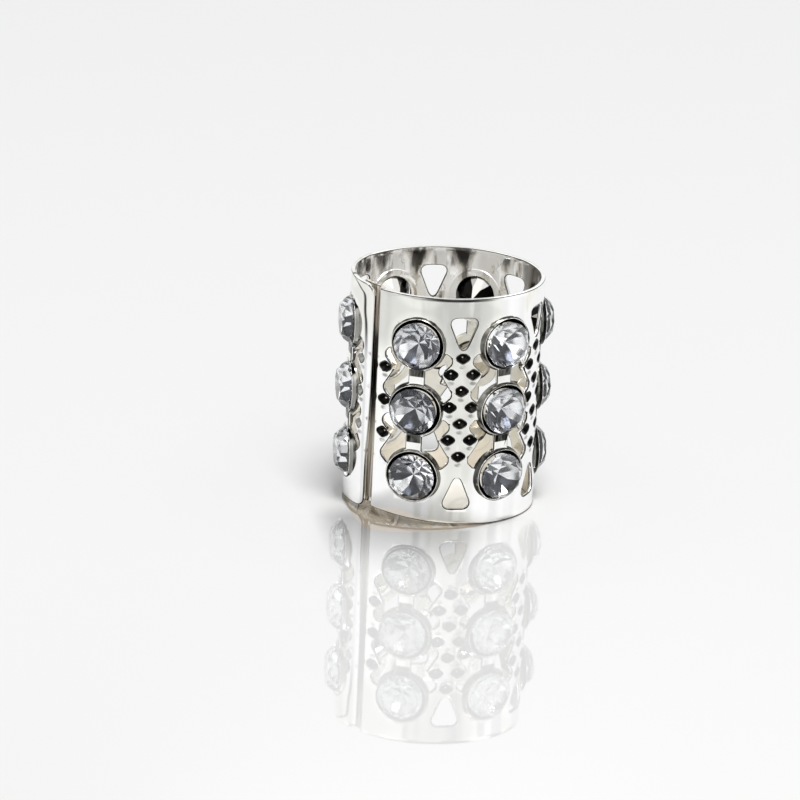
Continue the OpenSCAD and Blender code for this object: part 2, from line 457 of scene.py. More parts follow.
def lower_edge(x):
    """How far the strip's lower edge is lifted at x."""
    if x < strip_len / 2:
        return LIFT_AT_TUCK * max((4 - (tuck_s + x)) / 9, 0) ** 1.3
    return LIFT_AT_FLAP * soft_step((x - strip_len + 7) / 6)


for vertex in strip.data.vertices:
    x, y = vertex.co.x, vertex.co.y
    if y < 1:
        vertex.co.y += lower_edge(x) * (1 - y)
    if x > strip_len - 1:
        vertex.co.x -= FLAP_TAPER * soft_step((9 - y) / 7) * (x - strip_len + 1)
sheet_map = strip.data.uv_layers.active
for loop in strip.data.loops:
    x, y, z = strip.data.vertices[loop.vertex_index].co
    sheet_map.data[loop.index].uv = (x / strip_len, y / TUBE_H)
print("map:", sheet_map.name)

# %% [markdown]
# ## Rolling
# The strip is stood on its edge, its outer side to the front, and rolled along the path. Only
# then does Solidify give it its thickness, inwards, so that the outer face keeps its size.

# %% Stand the strip up and roll it
strip.data.transform(Matrix.Rotation(math.pi / 2, 4, "X"))
roll = strip.modifiers.new("roll", "CURVE")
roll.object = path
roll.deform_axis = "POS_X"
finish_modifier(strip, roll)
thick = strip.modifiers.new("thickness", "SOLIDIFY")
thick.thickness = SHEET
thick.offset = -1
thick.use_even_offset = True
thick.material_offset = INNER
finish_modifier(strip, thick)
print("rolled, with its thickness:", len(strip.data.polygons), "faces")

# %% [markdown]
# A tumbling drum rounds every punched edge a little. The Bevel modifier does that here, on
# edges sharper than 50 degrees. The sharp mesh is remembered, for a check in the next step.

# %% Take the sharpness off
BEVEL_W = 0.06
sharp = point_tree(strip)
soft = strip.modifiers.new("tumbled", "BEVEL")
soft.width = BEVEL_W
soft.segments = 2
soft.limit_method = "ANGLE"
soft.angle_limit = math.radians(50)
soft.use_clamp_overlap = False
soft.loop_slide = False
soft.material = EDGE
finish_modifier(strip, soft)
print("tumbled strip:", len(strip.data.polygons), "faces")

# %% [markdown]
# Where a gap's outline meets the grid in a sliver, the bevel overshoots. Such a point is more
# than a tenth of a millimetre from the sharp mesh, and goes to the middle of its neighbours.

# %% Bring back the points that the bevel threw off
STRAY_FROM = 0.1
mesh = bmesh.new()
mesh.from_mesh(strip.data)
for attempt in range(6):
    stray = {vertex for vertex in mesh.verts if sharp.find(vertex.co)[2] > STRAY_FROM}
    print("stray points:", len(stray))
    for vertex in stray:
        ends = [edge.other_vert(vertex) for edge in vertex.link_edges]
        steady = [end.co for end in ends if end not in stray]
        if steady:
            vertex.co = sum(steady, Vector()) / len(steady)
mesh.to_mesh(strip.data)
mesh.free()

# %% [markdown]
# A pointed punch makes a hole like a funnel, wide in front and nearly closed behind. That is
# why the diamonds of the real cuff look black from any side. Their inner points are drawn in
# towards each diamond's middle, and their walls take the dark finish, a painted near-black shade.

# %% The diamonds narrow towards the back
DRAWN_IN = 0.88
near = point_tree(strip)
walls = set()
for s, z in diamond_places:
    place = seat_place(s, z)
    back = place.inverted()
    for co, index, distance in near.find_range(place.translation, 0.75):
        x, y, height = back @ co
        # 1 on the outline of the diamond, and more outside it
        from_middle = abs(x) / DIAMOND_W + abs(y) / DIAMOND_H
        if from_middle < 1.25 and height > -1.6 * SHEET:
            keep = 1 - DRAWN_IN * min(max(-height / SHEET, 0), 1)
            strip.data.vertices[index].co = place @ Vector((x * keep, y * keep, height))
        if from_middle < 1.12:
            walls.add(index)
# Painted shade: the walls of the diamonds take the near-black seat_shadow finish
for face in strip.data.polygons:
    if all(i in walls for i in face.vertices):
        face.material_index = SHADOW
    # The top rim is as bright as the outside
    if face.center.z > TUBE_H - 0.1 and face.normal.z > 0.6:
        face.material_index = BRIGHT
print(len(diamond_places), "diamonds narrowed,", len(walls), "points in their walls")
for tool in (path, diamond, teardrop, chevron):
    bpy.data.objects.remove(tool)
sides = zip(*(vertex.co for vertex in strip.data.vertices))
box = [(round(min(side), 2), round(max(side), 2)) for side in sides]
print("rolled strip:", triangles(strip), "triangles, box", box)

# %% [markdown]
# ## The seats
# Each crystal stands in a raised, flat-mouthed ring, which is stamped up out of the real
# sheet. A ring needs small, even steps round its axis, which the strip's mesh doesn't have. So
# it is drawn as a profile, turned like a bowl on a lathe, and joined to the sheet with a
# Boolean. Its mouth stays flat, and its foot follows the bend of the sheet.

# %% One seat ring for each stone
# Radius and height of each step. The steps of the foot follow the bend of the sheet
MOUTH = (
    (1.73, -0.1),
    (1.69, 0.05),
    (1.665, 0.12),
    (1.655, 0.14),
    (1.64, 0.14),
    (1.625, 0.12),
    (1.6, -0.02),
    (1.5, -0.1),
    (1.34, -0.13),
    (1.31, -0.18),
)
FOOT = ((1.31, -0.27), (1.34, -0.3), (1.55, -0.31), (1.75, -0.3), (1.83, -0.18), (1.76, -0.07))
RING_PROFILE = FOOT[-1:] + MOUTH + FOOT[:-1]


def turned_ring():
    start_clean()
    radius, height = RING_PROFILE[0]
    bpy.ops.mesh.primitive_circle_add(vertices=ROUND_SIDES, radius=radius, location=(0, 0, 0))
    ring = name_new("seat_ring")
    for finish in strip.data.materials:
        ring.data.materials.append(finish)
    edit_all()
    bpy.ops.mesh.select_mode(type="EDGE")
    bpy.ops.transform.translate(value=(0, 0, height))
    for next_radius, next_height in RING_PROFILE[1:] + RING_PROFILE[:1]:
        bpy.ops.mesh.extrude_edges_move(TRANSFORM_OT_translate={"value": (0, 0, next_height - height)})
        grow = next_radius / radius
        bpy.ops.transform.resize(value=(grow, grow, 1), center_override=(0, 0, next_height))
        radius, height = next_radius, next_height
    close_up(0.001)
    # The mouth takes the painted near-black shade, and the outer wall the plate's metal painted darker grey
    for face in ring.data.polygons:
        radius = math.hypot(face.center.x, face.center.y)
        if face.center.z < -0.22:
            face.material_index = INNER
        elif radius < 1.6:
            face.material_index = SHADOW
        elif radius > 1.67:
            face.material_index = WALL
    return ring


ring = turned_ring()
print("ring:", len(ring.data.polygons), "faces")

# %% [markdown]
# No two seats of the real cuff are quite alike, because each was struck by hand. Their feet sit
# a little off their mouths, the mouths aren't quite round, and the seats on the tight sides of
# the oval stand lower. Each copy of the ring gets small faults of that kind.

# %% Eighteen seats, joined to the sheet
# How far the feet of two columns, from the bottom up, sit off their mouths, to the right and up
STRUCK = {
    "a": ((0.1, -0.12), (0.05, 0.08), (-0.05, 0.12)),
    "b": ((-0.1, -0.06), (-0.06, 0.12), (-0.08, 0.08)),
}
# The side columns, on the tight bends of the oval, stand a little lower
SUNK = {"c": 0.15, "f": 0.15}

rings = []
for column, s in zip(COLUMNS, column_s):
    for row, z in enumerate(row_z):
        seat = copy_of(ring, "seat_ring", Matrix.Identity(4))
        place = seat_place(s, z)
        off_x, off_z = 0.08 * noise.noise(Vector((s, z, 0.5))), 0.08
        if column in STRUCK:
            off_x, off_z = STRUCK[column][row]
        for vertex in seat.data.vertices:
            x, y, height = vertex.co
            radius = math.hypot(x, y)
            if any(abs(radius - r) < 1e-3 and abs(height - h) < 1e-3 for r, h in FOOT):
                shifted = height > -0.1
                point = on_sheet(s + x + shifted * off_x, -height)
                vertex.co = (point.x, point.y, z + y + shifted * off_z)
            else:
                sink = SUNK.get(column, 0) * (1 if height > -0.05 or radius > 1.72 else 0.4)
                uneven = 1 + 0.02 * noise.noise(Vector((x * 0.9 + s * 7, y * 0.9, z)))
                vertex.co = place @ Vector((x * uneven, y * uneven, height - sink))
        # Painted shade: on the sunk seats the part of the wall next to the mouth is painted near-black too
        if column in SUNK:
            for face in seat.data.polygons:
                middle = ring.data.polygons[face.index].center
                if face.material_index == WALL and math.hypot(middle.x, middle.y) < 1.74:
                    face.material_index = SHADOW
        seat_map = seat.data.uv_layers.active
        for loop in seat.data.loops:
            x, y, height = ring.data.vertices[loop.vertex_index].co
            seat_map.data[loop.index].uv = ((along_path(s) + x) / strip_len, (z + y) / TUBE_H)
        rings.append(seat)
bpy.data.objects.remove(ring)
boolean(strip, joined(rings, "seat_rings"), "UNION", solver="MANIFOLD")
print("band with its seats:", triangles(strip), "triangles")

# %% [markdown]
# A Boolean can leave crumbs, so only the largest of the loose parts is kept. Faces that meet
# at less than 32 degrees are shaded as one smooth surface, and the count of open edges shows
# whether the band is one closed solid.

# %% Finish of the band's mesh
take(strip)
bpy.ops.mesh.separate(type="LOOSE")
crumbs = sorted(bpy.context.selected_objects, key=lambda piece: len(piece.data.vertices))
band = take(crumbs.pop())
print(len(crumbs), "crumbs cleared away, the largest with", len(crumbs[-1].data.vertices), "points")
for crumb in crumbs:
    bpy.data.objects.remove(crumb)
name_new("pierced_band")
bpy.ops.object.shade_smooth_by_angle(angle=math.radians(32))
band.data.transform(Matrix.Scale(TO_METRES, 4))
mesh = bmesh.new()
mesh.from_mesh(band.data)
open_edges = sum(not edge.is_manifold for edge in mesh.edges)
mesh.free()
print("band:", triangles(band), "triangles,", open_edges, "open or doubled edges")

# %% [markdown]
# ## The crystals
# Each stone is a chaton: a table and a ring of facets above the girdle, and a pointed back
# below it that is silvered like a mirror. A gem is cut one flat at a time, and Blender's
# bisect does the same: it slices the rough with a plane and closes the cut with a new face.

# %% Cut one stone from a round rough
GIRDLE_R = 1.45
GIRDLE_LOW = 0.1
GIRDLE_TOP = 0.17
TABLE_Z = 0.78
TABLE_R = 1.0
TIP_Z = -1.15
EIGHTH = math.pi / 4


def cut_facet(turn, slope, radius, height):
    """One flat, whose plane leans back by slope and passes through the given point."""
    cos, sin = math.cos(turn), math.sin(turn)
    outward = Vector((cos * math.sin(slope), sin * math.sin(slope), math.cos(slope)))
    point = (radius * cos, radius * sin, height)
    bpy.ops.mesh.select_all(action="SELECT")
    bpy.ops.mesh.bisect(plane_co=point, plane_no=outward, use_fill=True, clear_outer=True, threshold=1e-5)


def cut_eight(first, slope, radius, height):
    for i in range(8):
        cut_facet((i + first) * EIGHTH, slope, radius, height)


def cut_stone():
    stone = cylinder("stone", 24, GIRDLE_R, 3, (0, 0, -0.4))
    edit_all()
    # The crown: the eight main flats, the stars between them and the table
    main_slope = math.atan2(TABLE_Z - GIRDLE_TOP, GIRDLE_R - TABLE_R)
    cut_eight(0, main_slope, GIRDLE_R - 0.005, GIRDLE_TOP)
    cut_eight(0.5, main_slope * 0.62, TABLE_R * math.cos(EIGHTH / 2), TABLE_Z)
    cut_facet(0, 0, 0, TABLE_Z)
    # The back: eight main flats that meet in a point, and a short one between each two
    back_slope = math.atan2(GIRDLE_LOW - TIP_Z, GIRDLE_R)
    cut_eight(0, math.pi - back_slope, 0, TIP_Z)
    cut_eight(0.5, math.pi - back_slope - 0.05, GIRDLE_R * 0.98, GIRDLE_LOW)
    close_up(0.004)
    return stone


stone = cut_stone()
heights = [vertex.co.z for vertex in stone.data.vertices]
print(f"stone: {len(stone.data.polygons)} flats, from {min(heights):.2f} to {max(heights):.2f} mm")

# %% [markdown]
# ## Finishes
# The band is bright plate: a mirror, but one that has been stamped and rolled, so its
# reflections waver. A few short helpers keep the node work readable: each adds its nodes to
# the tree that is open, wires them up and gives back the output.

# %% Helpers for nodes


def new_material(name):
    """A material and its shader. Its tree is now the open one, which new nodes are added to."""
    global tree
    material = bpy.data.materials.get(name) or bpy.data.materials.new(name)
    material.use_nodes = True
    tree = material.node_tree
    return material, tree.nodes["Principled BSDF"]


def metal(name, roughness):
    material, shader = new_material(name)
    shader.inputs["Metallic"].default_value = 1.0
    shader.inputs["Roughness"].default_value = roughness
    return material, shader


def wire(socket, value):
    if isinstance(value, bpy.types.NodeSocket):
        tree.links.new(value, socket)
    else:
        socket.default_value = value


def calc(operation, a, b=0.0):
    node = tree.nodes.new("ShaderNodeMath")
    node.operation = operation
    wire(node.inputs[0], a)
    wire(node.inputs[1], b)
    return node.outputs[0]


def times(product, *factors):
    for factor in factors:
        product = calc("MULTIPLY", product, factor)
    return product


def minus(a, b):
    return calc("SUBTRACT", a, b)


def apart(a, b):
    return calc("ABSOLUTE", minus(a, b))


def hypotenuse(a, b):
    return calc("SQRT", calc("ADD", times(a, a), times(b, b)))


def fade(value, start, end, low=0.0, high=1.0):
    """Low before start, high after end, and a soft step between them."""
    node = tree.nodes.new("ShaderNodeMapRange")
    node.interpolation_type = "SMOOTHSTEP"
    for socket, item in zip(node.inputs, (value, start, end, low, high)):
        wire(socket, item)
    return node.outputs["Result"]


def between(value, start, low, high, end):
    """1 between low and high, and a soft step to 0 on either side."""
    return times(fade(value, start, low), fade(value, end, high))


def blend(factor, a, b, kind="MIX"):
    node = tree.nodes.new("ShaderNodeMix")
    node.data_type = "RGBA"
    node.blend_type = kind
    node.clamp_result = kind != "MIX"
    wire(node.inputs[0], factor)
    for socket, colour in ((node.inputs[6], a), (node.inputs[7], b)):
        wire(socket, (*colour, 1) if isinstance(colour, tuple) else colour)
    return node.outputs[2]


def grain(vector, scale, stretch=(1, 1, 1), detail=2.0):
    """Noise on a vector that is first stretched."""
    mapping = tree.nodes.new("ShaderNodeMapping")
    mapping.inputs["Scale"].default_value = stretch
    node = tree.nodes.new("ShaderNodeTexNoise")
    node.inputs["Scale"].default_value = scale
    node.inputs["Detail"].default_value = detail
    wire(mapping.inputs["Vector"], vector)
    wire(node.inputs["Vector"], mapping.outputs["Vector"])
    return node.outputs["Fac"]


# %% [markdown]
# A finish that changes from place to place has to know the place. For the sheet it comes from
# the strip's own map, turned back into millimetres. A pattern that repeats uses a remainder.

# %% Helpers for places and patterns


def split_up(vector):
    node = tree.nodes.new("ShaderNodeSeparateXYZ")
    wire(node.inputs["Vector"], vector)
    return node.outputs


def object_place():
    return tree.nodes.new("ShaderNodeTexCoord").outputs["Object"]


def sheet_place():
    """The place on the strip as a vector, and the millimetres along the strip and up it."""
    place = tree.nodes.new("ShaderNodeUVMap")
    place.uv_map = "UVMap"
    scale = tree.nodes.new("ShaderNodeMapping")
    scale.inputs["Scale"].default_value = (strip_len, TUBE_H, 1)
    wire(scale.inputs["Vector"], place.outputs["UV"])
    along, up, out = split_up(scale.outputs["Vector"])
    return scale.outputs["Vector"], along, up


def from_flap_edge():
    return minus(strip_len, sheet_place()[1])


def flat_tone():
    node = tree.nodes.new("ShaderNodeAttribute")
    node.attribute_name = "flat_tone"
    return node.outputs["Fac"]


def from_nearest(value, start, pitch):
    """How far the value is from the middle of its own pitch, counted from the start."""
    return minus(calc("MODULO", minus(value, start), pitch), pitch / 2)


def drawn_curve(value, first, last, points):
    """A curve drawn through given points: its height at 0, its height at 1 and the points between them."""
    node = tree.nodes.new("ShaderNodeFloatCurve")
    line = node.mapping.curves[0]
    line.points[0].location = (0.0, first)
    line.points[1].location = (1.0, last)
    for x, y in points:
        line.points.new(x, y)
    node.mapping.update()
    wire(node.inputs["Value"], value)
    return node.outputs["Value"]


# %% [markdown]
# All of the cuff's metal has been tumbled and handled in the same way. That wear is kept in
# one node group, which takes a finish's own colour and gives it back faintly clouded, with a
# height for the fine ripple that makes reflections waver. All but the black finish end in it.

# %% One node group for the wear of all the metal
wear_group = bpy.data.node_groups.new("tumbled_wear", "ShaderNodeTree")
for name, way, kind in (
    ("Colour", "INPUT", "NodeSocketColor"),
    ("Colour", "OUTPUT", "NodeSocketColor"),
    ("Height", "OUTPUT", "NodeSocketFloat"),
):
    wear_group.interface.new_socket(name, in_out=way, socket_type=kind)
tree = wear_group
group_in = tree.nodes.new("NodeGroupInput")
group_out = tree.nodes.new("NodeGroupOutput")
solid = object_place()
cloud = fade(grain(solid, 420), 0.3, 0.7, -0.06, 0.06)
shift = tree.nodes.new("ShaderNodeBrightContrast")
wire(shift.inputs["Color"], group_in.outputs["Colour"])
wire(shift.inputs["Contrast"], cloud)
wire(group_out.inputs["Colour"], shift.outputs["Color"])
wire(group_out.inputs["Height"], grain(solid, 330))


def worn(shader, colour, strength=0.25):
    """Send a finish's colour through the shared wear and into its shader."""
    node = tree.nodes.new("ShaderNodeGroup")
    node.node_tree = wear_group
    wire(node.inputs["Colour"], colour)
    wire(shader.inputs["Base Color"], node.outputs["Colour"])
    ripple = tree.nodes.new("ShaderNodeBump")
    ripple.inputs["Strength"].default_value = strength
    ripple.inputs["Distance"].default_value = 0.00006
    wire(ripple.inputs["Height"], node.outputs["Height"])
    wire(shader.inputs["Normal"], ripple.outputs["Normal"])


print("wear group:", [socket.name for socket in wear_group.interface.items_tree])

# %% [markdown]
# The outside is mirror-bright, but not evenly. Its light and shade are painted: broad light and
# dark bands where it bends, a paler ring round each seat, brighter metal low down, darker metal
# low at the left and a darker band under the upper rim. These follow the strip's own map, so
# they stay on the metal whatever the camera does.

# %% Outside of the sheet: the plate itself
plate, shader = metal("bright_plate", 0.08)
sheet, along, up = sheet_place()
# Painted reflection: streaks of lighter and darker metal
streak = grain(sheet, 1, (0.9, 0.16, 1))
colour = blend(fade(streak, 0.6, 0.74), (0.64, 0.635, 0.61), (0.82, 0.82, 0.8))
colour = blend(fade(streak, 0.4, 0.25), colour, (0.48, 0.47, 0.44))

# Painted light and shade, broad light and dark along the strip: a place, and how light it is
PAINTED_BAND_S = (-3.9, -1.6, 0.2, 1.6, 2.6, 3.7, 6.5, 10.5)
PAINTED_BAND_LIGHT = (0.58, 0.6, 0.44, 0.48, 0.54, 0.78, 0.85, 0.6)
painted_band_points = [(along_path(s) / strip_len, share) for s, share in zip(PAINTED_BAND_S, PAINTED_BAND_LIGHT)]
painted_bands = drawn_curve(calc("DIVIDE", along, strip_len), 0.55, 0.72, painted_band_points)
# Painted shade: darker metal low down at the left
low_left = fade(along, along_path(-4.2), along_path(1.5), 0.1, 0.0)
low_left = times(low_left, fade(up, 3.0, 0.6))
first_s = along_path(column_s[0]) - column_pitch / 2
first_z = CRYSTAL_MID_Z - 1.5 * CRYSTAL_PITCH_Z
from_column = from_nearest(along, first_s, column_pitch)
from_row = from_nearest(up, first_z, CRYSTAL_PITCH_Z)
from_seat = hypotenuse(from_column, from_row)
# Painted light and shade: brighter low down, darker under the upper rim, and paler round each seat
light = times(painted_bands, 2.0, fade(up, 2.0, 4.5, 1.6, 1.38), fade(up, 10.5, 12.2, 1.0, 0.72))
light = times(light, minus(1.0, low_left), fade(from_seat, 1.85, 2.3, 1.12, 1.0))
grey = tree.nodes.new("ShaderNodeCombineColor")
for socket in grey.inputs[:3]:
    wire(socket, light)
colour = blend(1.0, colour, grey.outputs[0], "MULTIPLY")
print(plate.name, "so far:", len(tree.nodes), "nodes")

# %% [markdown]
# Under each diamond a soft grey patch is painted. Between two seats the sheet is a narrow neck
# that dips: painted shade makes a dark step under the upper seat, and a painted highlight makes a
# bright bar above the lower one. Both patterns repeat, so one formula with a remainder serves all the
# columns.

# %% Outside of the sheet: grey patches and necks
from_gap = calc("ABSOLUTE", from_nearest(from_column, -column_pitch, column_pitch))
grey_patch = 0.0
for sideways, row in ((0.0, -3), (DIAMOND_OFFSET, -2)):
    low_z = DIAMOND_MID_Z + (row - 1) * DIAMOND_PITCH_Z - 0.56
    above = from_nearest(up, low_z, 2 * DIAMOND_PITCH_Z)
    aside = minus(from_gap, sideways)
    spot = calc("ADD", times(aside, aside, 0.4), times(above, above))
    grey_patch = calc("MAXIMUM", grey_patch, fade(spot, 0.03, 0.004))
cloudy = fade(grain(sheet, 2.3), 0.35, 0.6, 0.2, 0.8)
grey_patch = times(grey_patch, between(up, 3.7, 3.9, 11.0, 11.2), cloudy)
colour = blend(grey_patch, colour, (0.24, 0.235, 0.23))

neck_z = calc("MODULO", minus(up, first_z + 0.02), CRYSTAL_PITCH_Z)
on_neck = fade(calc("ABSOLUTE", from_column), 0.48, 0.42)
on_neck = times(on_neck, fade(up, 3.0, 3.05), fade(up, 12.0, 11.95))
# Painted shade: the dark, ribbed step under the upper seat
rib = grain(sheet, 1, (5, 0.8, 1))
step_shade = blend(fade(rib, 0.35, 0.65), (0.015, 0.015, 0.013), (0.13, 0.13, 0.12))
# Painted highlight: the bright bar of the neck
colour = blend(times(on_neck, 0.75), colour, (0.96, 0.96, 0.93))
on_step = times(on_neck, between(neck_z, 0.0, 0.04, 0.5, 0.68))
colour = blend(on_step, colour, step_shade)
print("with smears and necks:", len(tree.nodes), "nodes")

# %% [markdown]
# The flap has a soft crease that runs down from its top corner, shown by a painted dark
# reflection. Beside it the sheet steps in, and that sunk strip is painted with light and shade,
# brown in the middle and paler at both ends. A painted dark line under the front of the rim
# stands for the reflection of its own rounded edge.

# %% Outside of the sheet: flap, sunk strip and rim
# The painted crease on the flap: shares of the height, and how far it is from the flap's edge
# there, in units of 3 mm
CREASE = ((0.45, 0.17), (0.82, 0.2), (0.88, 0.25), (0.94, 0.27), (0.965, 0.4))
from_edge = minus(strip_len, along)
crease = times(drawn_curve(calc("DIVIDE", up, TUBE_H), 0.12, 0.9, CREASE), 3.0)
# Painted reflection: a dark line along the crease
crease_reflection = fade(apart(from_edge, crease), 0.2, 0.04)
crease_reflection = times(crease_reflection, fade(up, 9.5, 12.5, 0.2, 1.0))
colour = blend(crease_reflection, colour, (0.05, 0.05, 0.048))

# Painted shade and light in the sunk strip: dark in the middle, paler at both ends
recess = fade(along, along_path(crease_s) + 0.05, along_path(crease_s) - 0.03)
recess = times(recess, fade(up, 0.85, 1.05))
lines = grain(sheet, 1, (9, 0.3, 1))
painted_shade = blend(fade(lines, 0.4, 0.62), (0.012, 0.011, 0.01), (0.09, 0.07, 0.05))
pale = blend(fade(lines, 0.38, 0.6), (0.3, 0.26, 0.21), (0.8, 0.75, 0.66))
recess_light_and_shade = blend(fade(up, 3.5, 8.0), pale, painted_shade)
recess_light_and_shade = blend(fade(up, 11.4, 12.6), recess_light_and_shade, pale)
colour = blend(recess, colour, recess_light_and_shade)
# Painted reflection: a near-black line under the front of the rim
in_front = fade(apart(along, along_path(0.6)), 3.6, 0.6)
under_rim = times(in_front, fade(up, TUBE_H - 0.24, TUBE_H - 0.15))
under_rim = times(under_rim, fade(up, TUBE_H - 0.01, TUBE_H - 0.04))
colour = blend(under_rim, colour, (0.02, 0.02, 0.02))
wire(shader.inputs["Metallic"], minus(1.0, times(recess, 0.8)))
# Painted shade: a dark line along the flap's very edge
colour = blend(fade(from_edge, 0.03, 0.01), colour, painted_shade)
worn(shader, colour)
print("outside finished:", len(tree.nodes), "nodes")

# %% [markdown]
# The inside was never polished. Near the top it is painted with dark and light streaks, as
# painted reflections, and with a painted dark band at one side. Lower down it is painted pale and a
# little yellow, for the light that bounces round inside the tube. Less of it is a true mirror
# there, so the metallic share falls as the colour gets paler.

# %% Inside of the sheet
DARK_SIDE_S = 9.2
inner, shader = metal("inner_plate", 0.12)
sheet, along, up = sheet_place()
# Painted reflections: dark and light streaks near the top
streak = grain(sheet, 1, (0.95, 0.3, 1), 2.5)
colour = blend(fade(streak, 0.36, 0.46), (0.16, 0.15, 0.14), (0.9, 0.88, 0.85))
colour = blend(fade(streak, 0.48, 0.53), colour, (1, 0.99, 0.97))
# Painted light: pale and a little yellow low down, for light that bounces round inside
low = blend(fade(streak, 0.42, 0.56), (0.97, 0.94, 0.83), (1, 0.99, 0.95))
low = blend(fade(up, 3.5, 0.5), low, (0.9, 0.83, 0.72))
# Painted shade: a dark band at one side, near the top
at_side = fade(apart(along, along_path(DARK_SIDE_S)), 3.2, 1.2)
colour = blend(at_side, colour, (0.13, 0.11, 0.09))
high = fade(up, 9.0, 11.0)
colour = blend(high, low, colour)
shine = times(high, fade(streak, 0.56, 0.5, 0.15, 1.0))
wire(shader.inputs["Metallic"], fade(shine, 0.0, 1.0, 0.15, 0.9))
worn(shader, colour, 0.5)
print(inner.name, "finished:", len(tree.nodes), "nodes")

# %% [markdown]
# Three darker finishes, all painted shade: the near-black gap round each stone and the walls of
# the diamonds, the grey outer wall of each seat, and the narrow bevel along every punched edge,
# whose dark stands for the reflection of its rounding.

# %% Seats and punched edges


def specked(name, roughness, scale, start, end, dark, light):
    """A metal whose colour changes from dark to light in small specks."""
    material, shader = metal(name, roughness)
    specks = grain(object_place(), scale)
    return shader, blend(fade(specks, start, end), dark, light)


# Painted shade: near-black in the gap round each stone and in the diamonds
dark, light = (0.003, 0.003, 0.003), (0.022, 0.02, 0.018)
shader, colour = specked("seat_shadow", 0.3, 2500, 0.45, 0.75, dark, light)
# Painted light: near the flap's edge the gaps are painted a lighter grey
on_flap = fade(from_flap_edge(), 1.7, 1.6)
wire(shader.inputs["Base Color"], blend(on_flap, colour, (0.3, 0.295, 0.28)))

# Painted shade: the seat's outer wall, the plate's metal painted darker
dark, light = (0.05, 0.048, 0.042), (0.24, 0.235, 0.21)
worn(*specked("seat_wall", 0.16, 700, 0.35, 0.65, dark, light))

# Painted reflection: the rounded bevel is painted dark
dark, light = (0.02, 0.019, 0.017), (0.14, 0.135, 0.125)
shader, colour = specked("punched_edge", 0.3, 900, 0.35, 0.7, dark, light)
# Painted highlight: a bright line along the flap's edge
at_edge = fade(from_flap_edge(), 0.2, 0.15)
worn(shader, blend(at_edge, colour, (0.85, 0.85, 0.83)))
print("dark finishes:", ", ".join(FINISHES[SHADOW:]))

# %% [markdown]
# A chaton is clear glass in front of a silvered back. One closed mesh carries both: glass on
# the flats in front, metal on those behind. The flat_tone attribute gives each flat its own
# painted darkness, a painted reflection, because real flats mirror different parts of a room.
# From behind, the foil shows its lacquer, which Backfacing tells apart from the side that is
# seen through the glass.

# %% Glass and foil
glass, shader = new_material("clear_crystal")
shader.inputs["Roughness"].default_value = 0.0
shader.inputs["IOR"].default_value = 1.56
shader.inputs["Transmission Weight"].default_value = 1.0
# A faint blue tint, and painted reflection: each flat has its own lightness
tint_and_sheen = blend(flat_tone(), (0.9, 0.91, 0.93), (1, 1, 1))
wire(shader.inputs["Base Color"], tint_and_sheen)

foil, shader = metal("mirror_foil", 0.17)
tone = flat_tone()
# Painted reflection: the foil is painted from dark to light, flat by flat
silver_and_sheen = blend(fade(tone, 0.24, 0.36), (0.04, 0.043, 0.052), (0.98, 0.985, 1))
# The lacquer's own colour, with painted reflection flat by flat
lacquer_and_sheen = blend(fade(tone, 0.76, 0.86), (0.015, 0.014, 0.013), (0.6, 0.59, 0.57))
# Painted light: the lower stones' backs are painted pale, for light from the pale inside of the tube. This
# height is in metres
height = split_up(object_place())["Z"]
lacquer_and_sheen = blend(fade(height, 0.0092, 0.0102), (0.86, 0.82, 0.74), lacquer_and_sheen)
seen_through = tree.nodes.new("ShaderNodeNewGeometry").outputs["Backfacing"]
wire(shader.inputs["Base Color"], blend(seen_through, lacquer_and_sheen, silver_and_sheen))
print("crystal:", glass.name, "over", foil.name)

# %% [markdown]
# One stone is copied into all eighteen seats. Each copy is turned, tilted and shifted by a
# trace, as stones that are set by hand are, and its flats are ranked for their painted darkness
# and light, with the lower ones painted darker, because they face the shaded foot of the cuff and
# not the lights.

# %% Set the stones
stone.data.materials.clear()
stone.data.materials.append(glass)
stone.data.materials.append(foil)
for face in stone.data.polygons:
    face.material_index = 1 if face.center.z < GIRDLE_LOW - 0.01 else 0
crown_flats = [face for face in stone.data.polygons if not face.material_index]
backs = [face for face in stone.data.polygons if face.material_index]
tip = {vertex.index for vertex in stone.data.vertices if vertex.co.z < min(heights) + 0.02}
main_backs = [face for face in backs if any(i in tip for i in face.vertices)]
short_backs = [face for face in backs if face not in main_backs]
print(len(crown_flats), "flats in front,", len(main_backs), "long and", len(short_backs), "short ones behind")
# How far the stones of two columns, from the bottom up, lie off the middles of their seats, to
# the right and up, and their extra turns
SLACK = {
    "a": ((0.0, -0.05, 0), (-0.085, -0.02, 0), (-0.055, -0.065, 0)),
    "b": ((0.07, -0.06, 0), (0.07, -0.06, 0), (0.07, -0.06, 0.5)),
}
MOST_TURN = 2.0
MOST_TILT = 0.09
# Painted shade: the upper flats of each stone are ranked lighter than the lower ones
UPPER_IS_LIGHTER = 0.38


def lightness(cut, key, turn):
    """What a flat is ranked by: chance, and how high it stands in its stone."""
    return noise.noise(cut.center * 2.3 + key * 1.7) + UPPER_IS_LIGHTER * (turn @ cut.center).y


